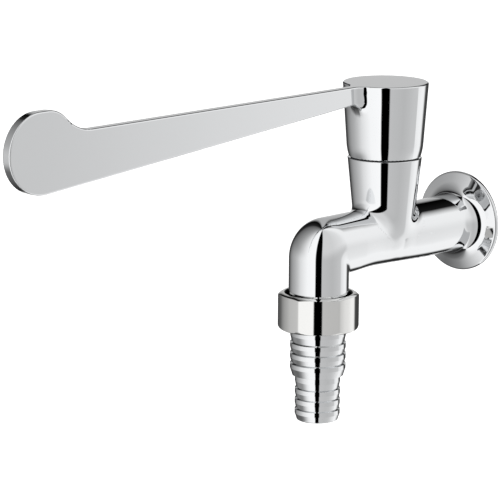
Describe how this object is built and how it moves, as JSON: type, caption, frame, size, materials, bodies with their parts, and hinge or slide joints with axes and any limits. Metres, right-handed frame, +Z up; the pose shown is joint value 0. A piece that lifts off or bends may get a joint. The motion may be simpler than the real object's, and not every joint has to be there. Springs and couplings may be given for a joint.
{
  "type": "wall-mounted bib tap with elbow lever",
  "caption": "Wall-mounted bib tap with a long elbow lever over a quarter-turn ceramic headwork, an elbow spout and a screwed, barbed hose tail.",
  "frame": {"origin": "centre of the wall flange's back face, on the axis of the inlet thread", "axes": "+Y points into the wall along the inlet, +Z is up along the handle's axis, the tap reaches out of the wall along -Y, and +X is the side the lever swings to when the tap opens"},
  "size_m": [0.0416, 0.2692, 0.1429],
  "materials": {
    "chrome_body": "polished",
    "chrome_handle": "polished",
    "chrome_nut": "polished",
    "chrome_nozzle": "polished",
    "brass": "turned",
    "steel": "plain",
    "rubber": "matt",
    "white_plastic": "matt",
    "grey_plastic": "matt",
    "ceramic": "lapped"
  },
  "bodies": {
    "tap_body": {"body": "chrome_body", "wall_seal": "rubber", "fixing_screw": "steel", "glide_ring": "grey_plastic", "headwork_body": "brass", "headwork_o_ring": "rubber", "seat_seal": "rubber", "seal_support_ring": "white_plastic", "fixed_disc": "ceramic", "thrust_washer": "white_plastic", "outlet_washer": "rubber"},
    "lever": {"lever_handle": "chrome_handle", "spline_insert": "white_plastic", "handle_grub_screw": "steel", "spindle": "brass", "spindle_o_ring_lower": "rubber", "spindle_o_ring_upper": "rubber", "spindle_circlip": "steel", "moving_disc": "ceramic"},
    "nut": {"union_nut": "chrome_nut"},
    "nozzle": {"hose_nozzle": "chrome_nozzle"}
  },
  "joints": [
    {"name": "lever_turn", "type": "hinge", "parent": "tap_body", "child": "lever", "pos_m": [0, -0.0492, 0], "axis": [0, 0, 1], "range_deg": [0, 90]},
    {"name": "nut_spin", "type": "hinge", "parent": "tap_body", "child": "nut", "pos_m": [0, -0.0884, -0.0245], "axis": [0, 0, 1], "continuous": true},
    {"name": "nozzle_swivel", "type": "hinge", "parent": "tap_body", "child": "nozzle", "pos_m": [0, -0.0884, -0.0287], "axis": [0, 0, 1], "continuous": true}
  ]
}
